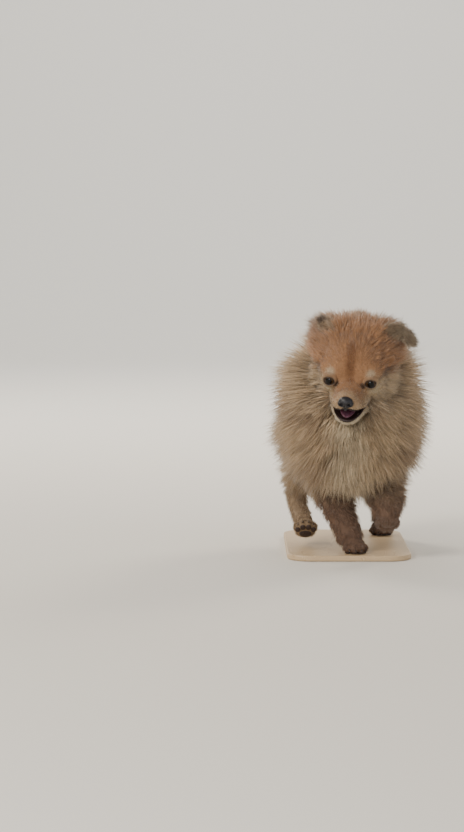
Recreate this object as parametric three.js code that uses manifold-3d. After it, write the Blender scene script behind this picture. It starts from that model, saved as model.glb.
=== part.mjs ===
// A trotting Pomeranian puppy at life size, a still model that stands on a thin plate.
// Millimetres, +Z up. The puppy faces -Y, and +X is its left side.
// The origin is the centre of the plate's underside.
import * as THREE from "three";
import { mergeVertices } from "three/addons/utils/BufferGeometryUtils.js";
import Module from "manifold-3d";

const wasm = await Module();
wasm.setup();

// Driving sizes. The puppy's own points are measured from the ground under its trunk.
const CLEARANCE = 0.3; // between pieces that touch
const GROWTH = 0.42; // how much fatter a piece is made when it cuts its neighbour
const PLATE = { length: 172, width: 106, thickness: 5, corner: 20 };
const TRUNK_ALONG_PLATE = -20; // where the puppy's own origin lies along Y
const HEAD = { at: [2.4, -68, 164], nod: 19.5, turn: -10.5, tilt: 4 }; // angles in degrees
const EYE = { at: [16.6, -20.6, -7], radius: 7.2 };
const BLEND = 2.6; // how keenly round forms keep their own shape where they meet
const FARTHEST = 100; // no shell reaches farther than this from its centre

const vec = (x, y, z) => new THREE.Vector3(x, y, z);
const radians = THREE.MathUtils.degToRad;

// A seeded source of numbers from -1 to 1, so that every build is the same.
function seeded(seed) {
  let state = seed;
  return () => {
    state = (state * 1664525 + 1013904223) % 4294967296;
    return state / 2147483648 - 1;
  };
}

// Solids and how they are joined

function solid(geometry) {
  geometry.deleteAttribute("normal");
  geometry.deleteAttribute("uv");
  const merged = mergeVertices(geometry, 1e-3);
  const vertProperties = merged.attributes.position.array;
  const triVerts = new Uint32Array(merged.index.array);
  const made = new wasm.Manifold(new wasm.Mesh({ numProp: 3, vertProperties, triVerts }));
  if (made.volume() > 0) return made;
  triVerts.reverse(); // a mirrored shape is turned right side out
  return new wasm.Manifold(new wasm.Mesh({ numProp: 3, vertProperties, triVerts }));
}

// A closed shape with each of its points moved.
function moulded(geometry, move) {
  const { position } = geometry.attributes;
  for (let i = 0; i < position.count; i++) {
    const { x, y, z } = move(vec(position.getX(i), position.getY(i), position.getZ(i)));
    position.setXYZ(i, x, y, z);
  }
  return solid(geometry);
}

const joined = (solids) => wasm.Manifold.union(solids);

// The largest closed surface of a solid, without loose scraps and sealed hollows.
function largest(made) {
  return made.decompose().reduce((best, next) => (next.volume() > best.volume() ? next : best));
}

function geometryOf(made) {
  const { numProp, numVert, vertProperties, triVerts } = made.getMesh();
  const position = new Float32Array(numVert * 3);
  for (let i = 0; i < numVert; i++) {
    position.set(vertProperties.subarray(i * numProp, i * numProp + 3), i * 3);
  }
  const geometry = new THREE.BufferGeometry();
  geometry.setAttribute("position", new THREE.BufferAttribute(position, 3));
  geometry.setIndex(new THREE.BufferAttribute(triVerts, 1));
  geometry.computeVertexNormals();
  return geometry;
}

// Basic shapes: a ball, a blended shell of round forms, a limb, and a lock of hair

function ball(at, radii, { sectors = 10, rings = 7 } = {}, grow = 0) {
  const geometry = new THREE.SphereGeometry(1, sectors, rings);
  geometry.scale(...radii.map((r) => r + grow));
  return solid(geometry.translate(...at));
}

// Over 1 inside the blend of round forms, each with a centre and three radii.
function fullness(p, forms) {
  let sum = 0;
  for (const { at, r } of forms) {
    const q = ((p.x - at[0]) / r[0]) ** 2 + ((p.y - at[1]) / r[1]) ** 2 + ((p.z - at[2]) / r[2]) ** 2;
    sum += Math.exp(BLEND * (1 - q));
  }
  return sum;
}

// How far the blended surface lies from a shell's centre in one direction.
function reachOf({ centre, forms }, direction) {
  const start = vec(...centre);
  const outsideAt = (t) => fullness(start.clone().addScaledVector(direction, t), forms) < 1;
  const step = 3;
  let outside = FARTHEST;
  while (outside > step && outsideAt(outside - step)) outside -= step;
  let inside = outside - step;
  for (let i = 0; i < 9; i++) {
    const middle = (inside + outside) / 2;
    if (outsideAt(middle)) outside = middle;
    else inside = middle;
  }
  return inside;
}

// A ball of directions pushed out to the blended surface. Crowding over 1 draws its rings to the front.
function shell(shape, grow = 0) {
  const { centre, sectors, rings, crowding = 1 } = shape;
  return moulded(new THREE.SphereGeometry(1, sectors, rings).rotateX(Math.PI / 2), (p) => {
    const fromFront = Math.PI * (Math.acos(THREE.MathUtils.clamp(-p.y, -1, 1)) / Math.PI) ** crowding;
    const side = Math.sin(fromFront) / (Math.hypot(p.x, p.z) || 1);
    const direction = vec(p.x * side, -Math.cos(fromFront), p.z * side);
    return vec(...centre).addScaledVector(direction, reachOf(shape, direction) + grow);
  });
}

// A rod with round ends, bent along stations [x, y, z, radius].
function limb(stations, { sides = 9, steps = 5, caps = 2 } = {}, grow = 0) {
  const curve = new THREE.CatmullRomCurve3(stations.map(([x, y, z]) => vec(x, y, z)));
  const { normals, binormals, tangents } = curve.computeFrenetFrames(steps);
  const last = stations.length - 1;
  const radiusAt = (u) => {
    const t = curve.getUtoTmapping(u) * last;
    const i = Math.min(Math.floor(t), last - 1);
    return THREE.MathUtils.lerp(stations[i][3], stations[i + 1][3], t - i) + grow;
  };
  return moulded(new THREE.CapsuleGeometry(1, 1, caps, sides, steps), (p) => {
    const u = THREE.MathUtils.clamp(p.y + 0.5, 0, 1);
    const beyond = p.y + 0.5 - u;
    const [k, radius] = [Math.round(u * steps), radiusAt(u)];
    const at = curve.getPointAt(u).addScaledVector(tangents[k], beyond * radius);
    return at.addScaledVector(normals[k], p.x * radius).addScaledVector(binormals[k], p.z * radius);
  });
}

// A flat, tapered lock: a thin pyramid that leaves the coat on a slant and bends over along its lie.
function lock({ root, normal, lie, lift, length, width, depth, sink }, grow = 0) {
  const rise = lie.clone().multiplyScalar(1 - lift).addScaledVector(normal, lift).normalize();
  const lay = lie.clone().addScaledVector(normal, lift * 0.4).normalize();
  const across = normal.clone().cross(lie).normalize();
  const start = root.clone().addScaledVector(rise, -sink);
  const middle = root.clone().addScaledVector(rise, length * 0.45);
  const end = middle.clone().addScaledVector(lay, length * 0.55 + grow);
  const curve = new THREE.QuadraticBezierCurve3(start, middle, end);
  const swell = (t) => (t < 1 ? 0.6 + 1.1 * t - 1.55 * t * t : 0); // narrow root, broad middle, fine tip
  return moulded(new THREE.ConeGeometry(1, 1, 4, 2), (p) => {
    const t = p.y + 0.5;
    const taper = 1 - t || 1;
    const face = curve.getTangent(t).cross(across).normalize();
    const [a, b] = [p.x / taper, p.z / taper];
    const at = curve.getPoint(t);
    at.addScaledVector(across, a * (swell(t) * width * 0.6 + grow));
    return at.addScaledVector(face, b * (swell(t) * depth * 0.6 + grow));
  });
}

// A shell's surface point and normal, by the angle from the front and the turn round Y, 0 up and 90 left.
function surfaceOf(shape, fromFront, round) {
  const [a, b] = [radians(fromFront), radians(round)];
  const direction = vec(Math.sin(a) * Math.sin(b), -Math.cos(a), Math.sin(a) * Math.cos(b));
  const root = vec(...shape.centre).addScaledVector(direction, reachOf(shape, direction));
  const at = (step) => fullness(root.clone().add(step), shape.forms);
  const slope = (...step) => at(vec(...step).negate()) - at(vec(...step));
  const normal = vec(slope(0.5, 0, 0), slope(0, 0.5, 0), slope(0, 0, 0.5)).normalize();
  return { root, normal };
}

// The lie of a lock: the way it would flow, laid along the surface.
function laid(flow, normal) {
  return flow.addScaledVector(normal, -flow.dot(normal)).normalize();
}

// Rows of locks on a shell. A row has an angle from the front, a count, and the span it takes round the body.
function rowsOfLocks(shape, rows, { flow, seed, ...size }) {
  const random = seeded(seed);
  const locks = [];
  rows.forEach(({ angle, count, span = [0, 360], ...own }, rowNumber) => {
    for (let k = 0; k < count; k++) {
      const share = (k + (rowNumber % 2) / 2 + random() * 0.12) / count;
      const round = THREE.MathUtils.lerp(...span, share);
      const { root, normal } = surfaceOf(shape, angle + random() * 3, round);
      const lie = laid(flow(root), normal);
      lie.addScaledVector(normal.clone().cross(lie), random() * 0.16).normalize();
      const made = { ...size, ...own };
      made.length *= 1 + random() * 0.1;
      locks.push({ root, normal, lie, ...made });
    }
  });
  return locks;
}

// The head, in its own frame with the middle of the skull at the origin

const both = (form) => [form, { ...form, at: [-form.at[0], form.at[1], form.at[2]] }];
const skull = {
  centre: [0, -14, -9],
  sectors: 24,
  rings: 19,
  crowding: 1.15,
  forms: [
    { at: [0, 4, 6], r: [32, 28, 28] },
    ...both({ at: [12, -8, -3], r: [15, 17, 14] }), // brows and the rims of the eyes
    ...both({ at: [19, -4, -16], r: [14, 17, 15] }), // cheeks
    { at: [0, -24, -16], r: [14, 18, 10.5] }, // root of the muzzle
    { at: [0, -42, -15], r: [9.5, 10, 8] },
    ...both({ at: [6.5, -38, -19.5], r: [7, 10, 5.5] }), // pads of the upper lip
  ],
};
const jawBone = {
  centre: [0, -24, -33],
  sectors: 14,
  rings: 9,
  forms: [
    { at: [0, -14, -33], r: [14, 14, 7] },
    { at: [0, -32, -36.5], r: [9.5, 12, 4.5] },
  ],
};
const mirrored = (half) => [...half, ...half.slice(0, -1).reverse().map(([x, ...rest]) => [-x, ...rest])];
const UPPER_LIP = mirrored([
  [15, -30, -26, 1.4], [11, -41, -25.5, 1.6], [5, -49, -24, 1.7], [0, -50.5, -22.5, 1.5],
]);
const LOWER_LIP = mirrored([
  [13.5, -30, -31, 1.3], [9.5, -38, -33, 1.3], [5, -43, -34.5, 1.3], [0, -44.8, -35, 1.3],
]);

// An almond ring of lid round the front of one eye.
function lids(side) {
  const ring = new THREE.TorusGeometry(6.2, 1.6, 5, 14).scale(1.05, 0.8, 1);
  ring.rotateX(Math.PI / 2 + radians(8)).rotateZ(radians(side * 24));
  return solid(ring.translate(side * (EYE.at[0] + 1.5), EYE.at[1] - 4, EYE.at[2]));
}

function nose(grow) {
  const middle = ball([0, -51.4, -14.2], [6.4, 4.6, 5.2], { sectors: 10, rings: 7 }, grow);
  const wing = (side) => ball([side * 3.6, -51.6, -15.2], [3.3, 3.8, 3], { sectors: 7, rings: 5 }, grow);
  const leather = joined([middle, wing(1), wing(-1)]);
  if (grow) return leather;
  const nostril = (side) => ball([side * 3.1, -55.3, -14.9], [1.5, 2.2, 1.2], { sectors: 6, rings: 4 });
  return leather.subtract(joined([nostril(1), nostril(-1)]));
}

// An ear is a slab bent along a line, cupped to the front and drawn in to a blunt tip.
const EAR = { halfWidth: 9, cup: 4, thickness: 2.2 };
function ear({ line, facing }, grow) {
  const curve = new THREE.QuadraticBezierCurve3(...line.map((p) => vec(...p)));
  return moulded(new THREE.BoxGeometry(2, 1, 1, 4, 4, 1), (p) => {
    const t = p.y + 0.5;
    const taper = Math.sqrt(1 - 0.97 * t * t);
    const up = curve.getTangent(t);
    const across = up.clone().cross(vec(...facing)).normalize();
    const front = across.clone().cross(up).normalize();
    const at = curve.getPoint(t).addScaledVector(up, (t > 0.99 ? 1 : 0) * grow);
    at.addScaledVector(across, p.x * (EAR.halfWidth * taper + grow));
    const depth = p.z * (EAR.thickness * (0.5 + 0.5 * taper) + 2 * grow) - EAR.cup * taper * (1 - p.x * p.x);
    return at.addScaledVector(front, depth);
  });
}
// The right ear stands half hidden in the coat, and the left one is folded out to the side.
const rightEar = { line: [[-17, 0, 20], [-22, 1, 29], [-29, 3, 36]], facing: [-0.3, -1, 0.15] };
const leftEar = { line: [[20, 0, 20], [38, 1, 39], [49, 1, 18]], facing: [0.1, -1, 0.25] };

// The trunk, neck and tail, in the puppy's own frame

const trunk = {
  centre: [0, 16, 97],
  sectors: 16,
  rings: 13,
  forms: [
    { at: [0, -20, 98], r: [43, 34, 43] },
    { at: [0, 16, 97], r: [41, 40, 40] },
    { at: [0, 50, 96], r: [37, 30, 37] },
  ],
};
const scruff = {
  centre: [1, -42, 126],
  sectors: 16,
  rings: 12,
  forms: [
    { at: [1, -42, 136], r: [45, 31, 41] },
    { at: [1, -35, 106], r: [44, 34, 37] },
  ],
};
const TAIL = [[0, 78, 106, 10], [2, 94, 124, 11.5], [4, 86, 146, 11.5], [5, 62, 156, 8]];

// Each length of leg from the trunk down, and the paws with their ankle, how far they nod and turn, and size

const LEGS = {
  foreleg_right: [[-19, -26, 70, 18], [-15, -27, 52, 18], [-7, -33, 32, 16], [0, -38, 16, 13]],
  foreleg_left: [[24, -30, 74, 18], [28, -28, 60, 18.5], [31, -42, 47, 16], [32, -53, 36, 12.5]],
  thigh_right: [[-26, 54, 90, 24], [-33, 38, 74, 21.5], [-40, 26, 60, 16]],
  thigh_left: [[26, 56, 90, 24], [32, 46, 72, 21.5], [35, 46, 56, 16]],
  shank_right: [[-41, 24, 58, 14.5], [-43, 34, 40, 13.5], [-41, 30, 27, 11.5], [-37, 14, 20, 10.5]],
  shank_left: [[35, 48, 54, 14.5], [36, 66, 44, 13], [36, 76, 32, 11], [35, 81, 16, 10.5]],
};
const PAWS = {
  forepaw_right: { at: [3, -42, 0], nod: 0, turn: 14, scale: 1 },
  forepaw_left: { at: [32, -52, 36], nod: 112, turn: 4, scale: 0.95 },
  hindpaw_right: { at: [-36, 0, 7.5], nod: -42, turn: 0, scale: 0.95 },
  hindpaw_left: { at: [35, 76, 0], nod: 0, turn: -4, scale: 0.95 },
};

// A paw with its toes to the front and its sole flat below: heel, four toes and their claws.
const TOES = [{ x: 7.2, y: -9, size: 4.6 }, { x: 2.6, y: -12.5, size: 4.9 }];
TOES.push(...TOES.map((toe) => ({ ...toe, x: -toe.x })));
function paw({ at, nod, turn, scale }, grow) {
  const parts = [ball([0, -2, 6.5], [10.5, 11, 7.5], { sectors: 9, rings: 6 }, grow)];
  for (const { x, y, size } of TOES) {
    parts.push(ball([x, y, size * 0.9], [size, size * 1.35, size], { sectors: 6, rings: 4 }, grow));
    const claw = new THREE.ConeGeometry(1.2 + grow, 6, 4).rotateX(radians(112));
    parts.push(solid(claw.translate(x * 1.05, y - size * 1.35, size * 0.7)));
  }
  const place = new THREE.Matrix4().compose(
    vec(...at),
    new THREE.Quaternion().setFromEuler(new THREE.Euler(radians(nod), 0, radians(turn), "ZXY")),
    vec(scale, scale, scale),
  );
  const below = solid(new THREE.BoxGeometry(60, 60, 20).translate(0, 0, -10 - grow));
  return joined(parts).subtract(below).transform(place.elements);
}

// The coat: where the locks root, how long and wide they are, and the way they lie

const trunkLocks = rowsOfLocks(
  trunk,
  [
    { angle: 66, count: 7, span: [40, 320] },
    { angle: 90, count: 10 },
    { angle: 113, count: 10, lift: 0.76 },
    { angle: 135, count: 9, length: 38, lift: 0.84 },
    { angle: 157, count: 7, length: 40, lift: 0.9 },
    { angle: 176, count: 3, length: 38, lift: 0.9 },
  ],
  {
    flow: () => vec(0, 0.8, -0.75),
    seed: 11, length: 35, width: 28, depth: 7, sink: 4, lift: 0.68,
  },
);
const ruffLocks = rowsOfLocks(
  scruff,
  [
    { angle: 40, count: 4, span: [120, 240], length: 26 },
    { angle: 62, count: 8, span: [70, 290] },
    { angle: 84, count: 11, span: [20, 340] },
    { angle: 106, count: 10 },
    { angle: 130, count: 7, span: [-110, 110] },
  ],
  {
    flow: ({ x, z }) => vec(x, 0, z - 140).normalize().add(vec(0, 0.5, -0.6)),
    seed: 23, length: 33, width: 28, depth: 7, sink: 4, lift: 0.68,
  },
);
const cheekLocks = rowsOfLocks(
  skull,
  [
    { angle: 90, count: 4, span: [52, 142], length: 17 },
    { angle: 90, count: 4, span: [218, 308], length: 17 },
    { angle: 108, count: 3, span: [-45, 45], lift: 0.4 },
    { angle: 110, count: 3, span: [60, 140] },
    { angle: 110, count: 3, span: [220, 300] },
    { angle: 132, count: 8, span: [-140, 140], lift: 0.45 },
  ],
  {
    flow: () => vec(0, 1, -0.15),
    seed: 31, length: 23, width: 19, depth: 5, sink: 3, lift: 0.6,
  },
);

// Locks round the tail, which lie towards its tip.
function plume() {
  const random = seeded(47);
  const curve = new THREE.CatmullRomCurve3(TAIL.map(([x, y, z]) => vec(x, y, z)));
  const locks = [];
  const perRow = 5;
  [0.16, 0.42, 0.68, 0.94].forEach((u, rowNumber) => {
    const lie = curve.getTangentAt(u);
    const side = vec(1, 0, 0).cross(lie).normalize();
    for (let k = 0; k < perRow; k++) {
      const turn = ((k + (rowNumber % 2) / 2 + random() * 0.15) / perRow) * 2 * Math.PI;
      const normal = side.clone().applyAxisAngle(lie, turn);
      const root = curve.getPointAt(u).addScaledVector(normal, 9);
      const length = 30 * (1 + random() * 0.1);
      locks.push({ root, normal, lie, lift: 0.55, length, width: 20, depth: 5, sink: 3 });
    }
  });
  return locks;
}

// Locks down the back and the outside of a thigh.
function breeches(stations) {
  const random = seeded(61);
  const side = Math.sign(stations[0][0]);
  const locks = [];
  stations.forEach(([x, y, z, radius], rowNumber) => {
    for (let degrees = 35; degrees < 180; degrees += 45) {
      const turn = radians(degrees + (rowNumber % 2) * 18 + random() * 6);
      const normal = vec(side * Math.sin(turn), -Math.cos(turn), -0.1).normalize();
      const root = vec(x, y, z).addScaledVector(normal, radius - 2);
      const lie = laid(vec(0, 0.45, -0.9), normal);
      const length = 20 * (1 + random() * 0.12);
      locks.push({ root, normal, lie, lift: 0.42, length, width: 18, depth: 5, sink: 3 });
    }
  });
  return locks;
}

// Each piece: its core, made fatter by `grow` where it cuts a neighbour, its locks, and its material

const headPlace = new THREE.Matrix4().compose(
  vec(...HEAD.at),
  new THREE.Quaternion().setFromEuler(
    new THREE.Euler(radians(HEAD.nod), radians(HEAD.tilt), radians(HEAD.turn), "ZXY"),
  ),
  vec(1, 1, 1),
);
const onHead = (made) => made.transform(headPlace.elements);
const headLocks = cheekLocks.map((spec) => ({
  ...spec,
  root: spec.root.applyMatrix4(headPlace),
  normal: spec.normal.transformDirection(headPlace),
  lie: spec.lie.transformDirection(headPlace),
}));

function eye(side, grow) {
  const [x, y, z] = EYE.at;
  const radii = [EYE.radius, EYE.radius, EYE.radius];
  return onHead(ball([side * x, y, z], radii, { sectors: 12, rings: 8 }, grow));
}

function head(grow) {
  const lip = limb(UPPER_LIP, { sides: 5, steps: 12, caps: 1 }, grow);
  return onHead(joined([shell(skull, grow), lip, lids(1), lids(-1)]));
}

function jaw(grow) {
  const lip = limb(LOWER_LIP, { sides: 5, steps: 10, caps: 1 }, grow);
  return onHead(joined([shell(jawBone, grow), lip]));
}

function tongue(grow) {
  return onHead(ball([0, -29, -30.5], [7, 15, 2.4], { sectors: 12, rings: 7 }, grow));
}

const fur = { ginger: "#b98656", cream: "#c9b08a", sable: "#9a7350", brown: "#6f4f3a" };
const pieces = [
  { name: "eye_left", core: (grow) => eye(1, grow), colour: "#2a170e", roughness: 0.1 },
  { name: "eye_right", core: (grow) => eye(-1, grow), colour: "#2a170e", roughness: 0.1 },
  { name: "nose", core: (grow) => onHead(nose(grow)), colour: "#17171a", roughness: 0.35 },
  { name: "head", core: head, locks: headLocks, colour: fur.ginger },
  { name: "jaw", core: jaw, colour: fur.cream },
  { name: "tongue", core: tongue, colour: "#5c3a48", roughness: 0.4 },
  { name: "ear_left", core: (grow) => onHead(ear(leftEar, grow)), colour: fur.sable },
  { name: "ear_right", core: (grow) => onHead(ear(rightEar, grow)), colour: fur.sable },
  { name: "neck", core: (grow) => shell(scruff, grow), locks: ruffLocks, colour: fur.cream },
  { name: "torso", core: (grow) => shell(trunk, grow), locks: trunkLocks, colour: fur.sable },
  { name: "tail", core: (grow) => limb(TAIL, {}, grow), locks: plume(), colour: fur.cream },
];
for (const [name, stations] of Object.entries(LEGS)) {
  const locks = name.startsWith("thigh") ? breeches(stations) : [];
  pieces.push({ name, core: (grow) => limb(stations, {}, grow), locks, colour: fur.brown });
}
for (const [name, place] of Object.entries(PAWS)) {
  pieces.push({ name, core: (grow) => paw(place, grow), colour: fur.brown });
}

// Cores give way to the ones before them, and locks to every other core and to the locks before them

const fatCores = pieces.map(({ core }) => core(GROWTH));
const fatLocks = pieces.map(({ locks = [] }) => locks.map((spec) => lock(spec, GROWTH)));

function finished({ core, locks = [] }, number) {
  const bare = core(0);
  const body = number ? bare.subtract(joined(fatCores.slice(0, number))) : bare;
  if (!locks.length) return largest(body.subtract(joined(fatLocks.slice(0, number).flat())));
  const others = fatCores.filter((_, k) => k !== number).concat(...fatLocks.slice(0, number));
  const coat = joined(locks.map((spec) => lock(spec))).subtract(joined(others));
  return largest(body.add(coat));
}

function mesh(name, geometry, { colour, roughness = 0.95 }) {
  const material = new THREE.MeshStandardMaterial({ color: colour, roughness, metalness: 0 });
  const made = new THREE.Mesh(geometry, material);
  made.name = name;
  return made;
}

const puppy = new THREE.Group();
puppy.position.set(0, TRUNK_ALONG_PLATE, PLATE.thickness + CLEARANCE);
pieces.forEach((piece, number) => {
  puppy.add(mesh(piece.name, geometryOf(finished(piece, number)), piece));
});

// The plate under the two planted feet

function plate() {
  const { length, width, thickness, corner } = PLATE;
  const outline = new THREE.Shape();
  const [x, y] = [width / 2 - corner, length / 2 - corner];
  outline.absarc(x, y, corner, 0, Math.PI / 2);
  outline.absarc(-x, y, corner, Math.PI / 2, Math.PI);
  outline.absarc(-x, -y, corner, Math.PI, 1.5 * Math.PI);
  outline.absarc(x, -y, corner, 1.5 * Math.PI, 2 * Math.PI);
  return new THREE.ExtrudeGeometry(outline, { depth: thickness, bevelEnabled: false, curveSegments: 8 });
}

const model = new THREE.Group();
model.add(mesh("stand_plate", plate(), { colour: "#a8a39a", roughness: 0.6 }), puppy);

export default model;
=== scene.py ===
# A trotting Pomeranian puppy with its long woolly coat, on a thin wooden plate
import math

import bmesh
import bpy
import numpy as np
from mathutils import Matrix, Vector
from mathutils.bvhtree import BVHTree


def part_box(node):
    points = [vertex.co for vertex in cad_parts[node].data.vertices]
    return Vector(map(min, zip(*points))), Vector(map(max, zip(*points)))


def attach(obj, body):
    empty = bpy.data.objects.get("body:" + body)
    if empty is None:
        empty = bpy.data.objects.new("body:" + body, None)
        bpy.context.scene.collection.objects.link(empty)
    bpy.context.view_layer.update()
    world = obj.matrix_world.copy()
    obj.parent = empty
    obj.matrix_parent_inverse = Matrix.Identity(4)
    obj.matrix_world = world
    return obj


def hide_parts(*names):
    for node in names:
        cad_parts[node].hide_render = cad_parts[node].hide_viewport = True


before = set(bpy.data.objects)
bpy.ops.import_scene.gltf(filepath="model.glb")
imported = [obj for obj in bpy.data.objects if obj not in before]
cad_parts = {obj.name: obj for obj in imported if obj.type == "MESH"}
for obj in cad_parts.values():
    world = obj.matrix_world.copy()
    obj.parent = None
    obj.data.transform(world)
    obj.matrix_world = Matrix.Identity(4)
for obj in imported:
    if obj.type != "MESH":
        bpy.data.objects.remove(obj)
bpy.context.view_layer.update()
print("frame loaded")

mm = 0.001
random = np.random.default_rng(7)

# The puppy's own points are in millimetres from the ground under its trunk, 0.3 mm over the plate
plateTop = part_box("stand_plate")[1].z / mm
puppyOffset = np.array([0, -20, plateTop + 0.3])
headPose = {"at": (2.4, -68, 164), "nod": 19.5, "turn": -10.5, "tilt": 4}


def linearColour(hexText):
    parts = [int(hexText[i:i + 2], 16) / 255 for i in (1, 3, 5)]
    return np.array([c / 12.92 if c <= 0.04045 else ((c + 0.055) / 1.055) ** 2.4 for c in parts])


def unit(vectors):
    return vectors / np.maximum(np.linalg.norm(vectors, axis=-1, keepdims=True), 1e-9)


def smoothStep(low, high, value):
    t = np.clip((value - low) / (high - low), 0, 1)
    return t * t * (3 - 2 * t)


def turned(turn=0, nod=0, tilt=0):
    matrix = Matrix.Rotation(math.radians(turn), 3, "Z") @ Matrix.Rotation(math.radians(nod), 3, "X")
    return np.array(matrix @ Matrix.Rotation(math.radians(tilt), 3, "Y"))


headTurn = turned(headPose["turn"], headPose["nod"], headPose["tilt"])


def fromHead(points):
    return np.asarray(points, float) @ headTurn.T + headPose["at"]


def toHead(points):
    return (np.asarray(points, float) - headPose["at"]) @ headTurn


# Meshes: arrays of points in millimetres and of triangles


def ball(detail=3):
    made = bmesh.new()
    bmesh.ops.create_icosphere(made, subdivisions=detail, radius=1)
    points = np.array([v.co for v in made.verts])
    faces = np.array([[v.index for v in f.verts] for f in made.faces])
    made.free()
    return points, faces


def ellipsoid(at, radii, detail=3):
    points, faces = ball(detail)
    return points * radii + at, faces


def merged(parts):
    points, faces, start = [], [], 0
    for p, f in parts:
        points.append(p)
        faces.append(np.asarray(f) + start)
        start += len(p)
    return np.concatenate(points), np.concatenate(faces)


def fullness(points, forms):
    total = 0
    for at, radii in forms:
        total = total + np.exp(2.6 * (1 - (((points - at) / radii) ** 2).sum(-1)))
    return total


# A ball of directions pushed out from a centre to where round forms blend
def shell(centre, forms, detail=5):
    directions, faces = ball(detail)
    centre = np.array(centre, float)
    steps = np.linspace(2, 92, 31)
    full = fullness(centre + directions[:, None] * steps[None, :, None], forms) > 1
    last = len(steps) - 1 - np.argmax(full[:, ::-1], axis=1)
    inside, outside = steps[last], steps[last] + 3
    for _ in range(8):
        middle = (inside + outside) / 2
        isIn = fullness(centre + directions * middle[:, None], forms) > 1
        inside, outside = np.where(isIn, middle, inside), np.where(isIn, outside, middle)
    return centre + directions * inside[:, None], faces


# Points and radii along a smooth line through stations (x, y, z, radius)
def alongStations(stations, count):
    known = np.array(stations, float)
    padded = np.vstack([2 * known[0] - known[1], known, 2 * known[-1] - known[-2]])
    out = []
    for t in np.linspace(0, len(known) - 1, count):
        i = min(int(t), len(known) - 2)
        u = t - i
        a, b, c, d = padded[i:i + 4]
        bend = (c - a) * u + (2 * a - 5 * b + 4 * c - d) * u * u + (3 * b - a - 3 * c + d) * u ** 3
        out.append(b + 0.5 * bend)
    return np.array(out)


def limb(stations, count=14):
    return merged([ellipsoid(s[:3], s[3], 3) for s in alongStations(stations, count)])


# Triangles between closed rings of points that follow one another
def ringFaces(rings, count):
    faces = []
    for r in range(rings - 1):
        for k in range(count):
            a, b = r * count + k, r * count + (k + 1) % count
            faces += [(a, b, a + count), (b, b + count, a + count)]
    return faces


# A round tube of even sides along a line of points, closed at both ends
def tube(line, radii, sides=12):
    line = np.asarray(line, float)
    forward = unit(np.gradient(line, axis=0))
    side = unit(np.cross(forward, (0.13, 0.21, 0.97)))
    other = np.cross(forward, side)
    angles = np.linspace(0, 2 * np.pi, sides, endpoint=False)
    ring = side[:, None] * np.cos(angles)[None, :, None] + other[:, None] * np.sin(angles)[None, :, None]
    points = (line[:, None] + ring * np.asarray(radii, float).reshape(-1, 1, 1)).reshape(-1, 3)
    faces = ringFaces(len(line), sides)
    start, end = len(points), len(points) + 1
    last = (len(line) - 1) * sides
    for k in range(sides):
        faces += [(start, (k + 1) % sides, k), (end, last + k, last + (k + 1) % sides)]
    return np.vstack([points, line[0], line[-1]]), np.array(faces)


def meshFrom(name, points, faces):
    mesh = bpy.data.meshes.new(name)
    points = (np.asarray(points, float) + puppyOffset) * mm
    faces = np.asarray(faces, np.int32)
    mesh.vertices.add(len(points))
    mesh.vertices.foreach_set("co", points.astype(np.float32).ravel())
    mesh.loops.add(faces.size)
    mesh.loops.foreach_set("vertex_index", faces.ravel())
    mesh.polygons.add(len(faces))
    mesh.polygons.foreach_set("loop_start", np.arange(0, faces.size, 3, dtype=np.int32))
    mesh.polygons.foreach_set("use_smooth", np.ones(len(faces), bool))
    mesh.update(calc_edges=True)
    return mesh


def vectorsOf(items, key):
    values = np.zeros(len(items) * 3, np.float32)
    items.foreach_get(key, values)
    return values.reshape(-1, 3)


def addColours(mesh, colours):
    layer = mesh.attributes.new("coatColour", "FLOAT_COLOR", "POINT")
    colours = np.concatenate([colours, np.ones((len(colours), 1))], axis=1)
    layer.data.foreach_set("color", colours.astype(np.float32).ravel())


def addPiece(name, mesh, material, slot, *replaced):
    piece = bpy.data.objects.new(name, mesh)
    bpy.context.collection.objects.link(piece)
    mesh.materials.append(material)
    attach(piece, "root")
    if replaced:
        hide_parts(*replaced)
    return piece


# The same surface as one closed skin of small even faces, softened a little
def reskinned(name, points, faces, voxel, passes):
    raw = bpy.data.objects.new(name, meshFrom(name, points, faces))
    bpy.context.collection.objects.link(raw)
    remesh = raw.modifiers.new("remesh", "REMESH")
    remesh.mode = "VOXEL"
    remesh.voxel_size = voxel * mm
    remesh.use_smooth_shade = True
    soften = raw.modifiers.new("soften", "SMOOTH")
    soften.factor = 0.5
    soften.iterations = passes
    made = bpy.data.meshes.new_from_object(raw.evaluated_get(bpy.context.evaluated_depsgraph_get()))
    bpy.data.objects.remove(raw)
    return made


# Materials


def addNode(tree, kind, inputs=(), **settings):
    node = tree.nodes.new("ShaderNode" + kind)
    for name, value in settings.items():
        setattr(node, name, value)
    for name, value in dict(inputs).items():
        if isinstance(value, bpy.types.NodeSocket):
            tree.links.new(value, node.inputs[name])
        else:
            node.inputs[name].default_value = value
    return node


def newMaterial(name, **values):
    material = bpy.data.materials.new(name)
    material.use_nodes = True
    tree = material.node_tree
    shader = tree.nodes["Principled BSDF"]
    for key, value in values.items():
        shader.inputs[key.replace("_", " ")].default_value = value
    return material, tree, shader, addNode(tree, "TexCoord").outputs["Object"]


def rgba(hexText):
    return (*linearColour(hexText), 1)


# A colour that runs from one to another as the value rises
def blend(tree, value, first, last):
    ramp = addNode(tree, "ValToRGB", {"Fac": value})
    ramp.color_ramp.elements[0].color = rgba(first)
    ramp.color_ramp.elements[1].color = rgba(last)
    return ramp.outputs["Color"]


# The base colour: a colour made darker and lighter by a tone
def addBase(tree, shader, colour, tone):
    mixed = addNode(tree, "VectorMath", {0: colour, 1: tone}, operation="MULTIPLY")
    tree.links.new(mixed.outputs["Vector"], shader.inputs["Base Color"])


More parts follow.
